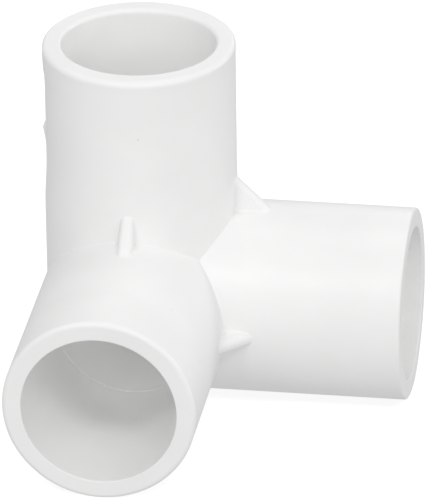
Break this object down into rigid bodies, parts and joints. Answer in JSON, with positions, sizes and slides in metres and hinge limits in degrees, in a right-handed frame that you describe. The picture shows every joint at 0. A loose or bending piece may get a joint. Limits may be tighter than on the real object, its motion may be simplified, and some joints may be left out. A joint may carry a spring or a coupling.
{
  "type": "pvc corner tee fitting",
  "caption": "White PVC corner fitting whose plain pipe sockets meet at mutual right angles, with small webs in the corners; joins solvent-welded irrigation pipe.",
  "frame": {"origin": "bottom centre of the fitting's bounding box, where it stands on its two level sockets", "axes": "+Z along the upright socket's axis and out of its mouth, +X out of the right socket's mouth, -Y out of the front socket's mouth"},
  "size_m": [0.0608, 0.0602, 0.0601],
  "materials": {
    "white_pvc": "as moulded, satin"
  },
  "bodies": {
    "root": {"corner_hub": "white_pvc", "socket_up": "white_pvc", "socket_front": "white_pvc", "socket_right": "white_pvc", "web_up_front": "white_pvc", "web_up_right": "white_pvc", "web_front_right": "white_pvc", "gate_witness": "white_pvc"}
  },
  "joints": []
}
